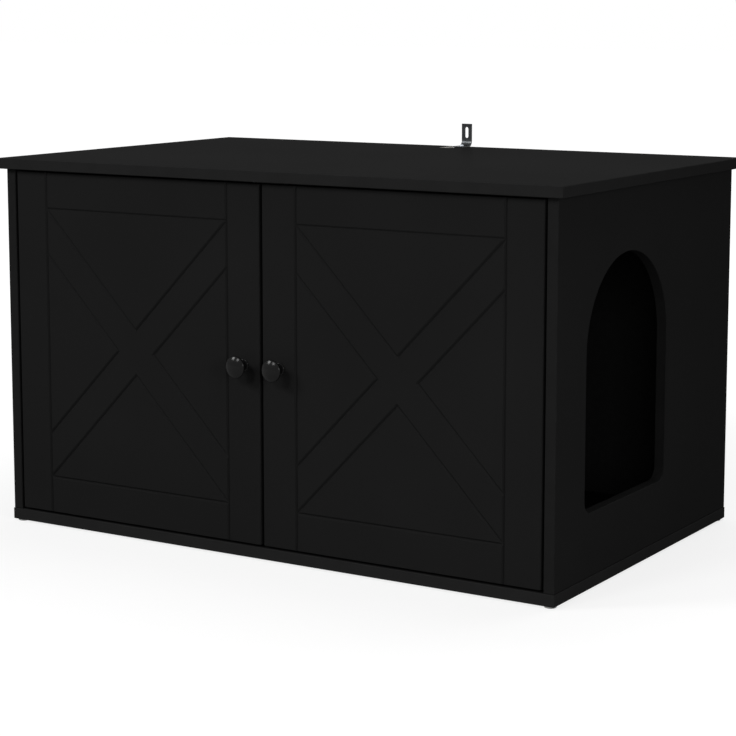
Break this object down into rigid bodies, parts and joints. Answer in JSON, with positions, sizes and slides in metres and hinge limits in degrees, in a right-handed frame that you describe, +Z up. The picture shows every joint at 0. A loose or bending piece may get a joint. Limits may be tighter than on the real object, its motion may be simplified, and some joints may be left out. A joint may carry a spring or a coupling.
{
  "type": "cat litter box cabinet",
  "caption": "Low board cabinet that hides a cat litter box: hinged front doors with knobs, an arched cat entrance in the right side, glides and a wall bracket.",
  "frame": {"origin": "on the floor, under the middle of the cabinet's bounding box", "axes": "+X to the right as seen from the front, +Y towards the wall behind, +Z up"},
  "size_m": [0.9, 0.585, 0.564],
  "materials": {
    "black_laminate_board": "fine-grained black melamine laminate, satin",
    "black_door_board": "black laminate with routed V-grooves, satin",
    "black_hardboard": "thin painted hardboard, matt",
    "black_enamel": "black enamel, satin",
    "dark_steel": "dark plated steel",
    "zinc_steel": "zinc plated",
    "nickel_steel": "nickel plated, pressed",
    "grey_plastic": "moulded, pale grey",
    "black_plastic": "moulded, black",
    "beech": "plain beech, fluted"
  },
  "bodies": {
    "carcass": {"top_panel": "black_laminate_board", "base_panel": "black_laminate_board", "left_side_panel": "black_laminate_board", "right_side_panel": "black_laminate_board", "back_panel": "black_hardboard", "cam_discs": "zinc_steel", "cam_bolts": "zinc_steel", "wooden_dowels": "beech", "catch_housing": "black_plastic", "catch_magnets": "dark_steel", "catch_screws": "zinc_steel", "wall_bracket": "dark_steel", "bracket_screw": "zinc_steel", "floor_glides": "grey_plastic", "glide_nails": "zinc_steel", "left_hinge_arms": "nickel_steel", "left_arm_screws": "zinc_steel", "left_hinge_plates": "nickel_steel", "left_plate_screws": "zinc_steel", "right_hinge_arms": "nickel_steel", "right_arm_screws": "zinc_steel", "right_hinge_plates": "nickel_steel", "right_plate_screws": "zinc_steel"},
    "left_leaf": {"left_door": "black_door_board", "left_knob": "black_enamel", "left_knob_screw": "zinc_steel", "left_strike_plate": "zinc_steel", "left_strike_screw": "zinc_steel", "left_hinge_cups": "nickel_steel", "left_hinge_pins": "nickel_steel", "left_cup_screws": "zinc_steel"},
    "right_leaf": {"right_door": "black_door_board", "right_knob": "black_enamel", "right_knob_screw": "zinc_steel", "right_strike_plate": "zinc_steel", "right_strike_screw": "zinc_steel", "right_hinge_cups": "nickel_steel", "right_hinge_pins": "nickel_steel", "right_cup_screws": "zinc_steel"}
  },
  "joints": [
    {"name": "left_door_swing", "type": "hinge", "parent": "carcass", "child": "left_leaf", "pos_m": [-0.411, -0.26, 0.2665], "axis": [0, 0, -1], "range_deg": [0, 100]},
    {"name": "right_door_swing", "type": "hinge", "parent": "carcass", "child": "right_leaf", "pos_m": [0.411, -0.26, 0.2665], "axis": [0, 0, 1], "range_deg": [0, 100]}
  ]
}
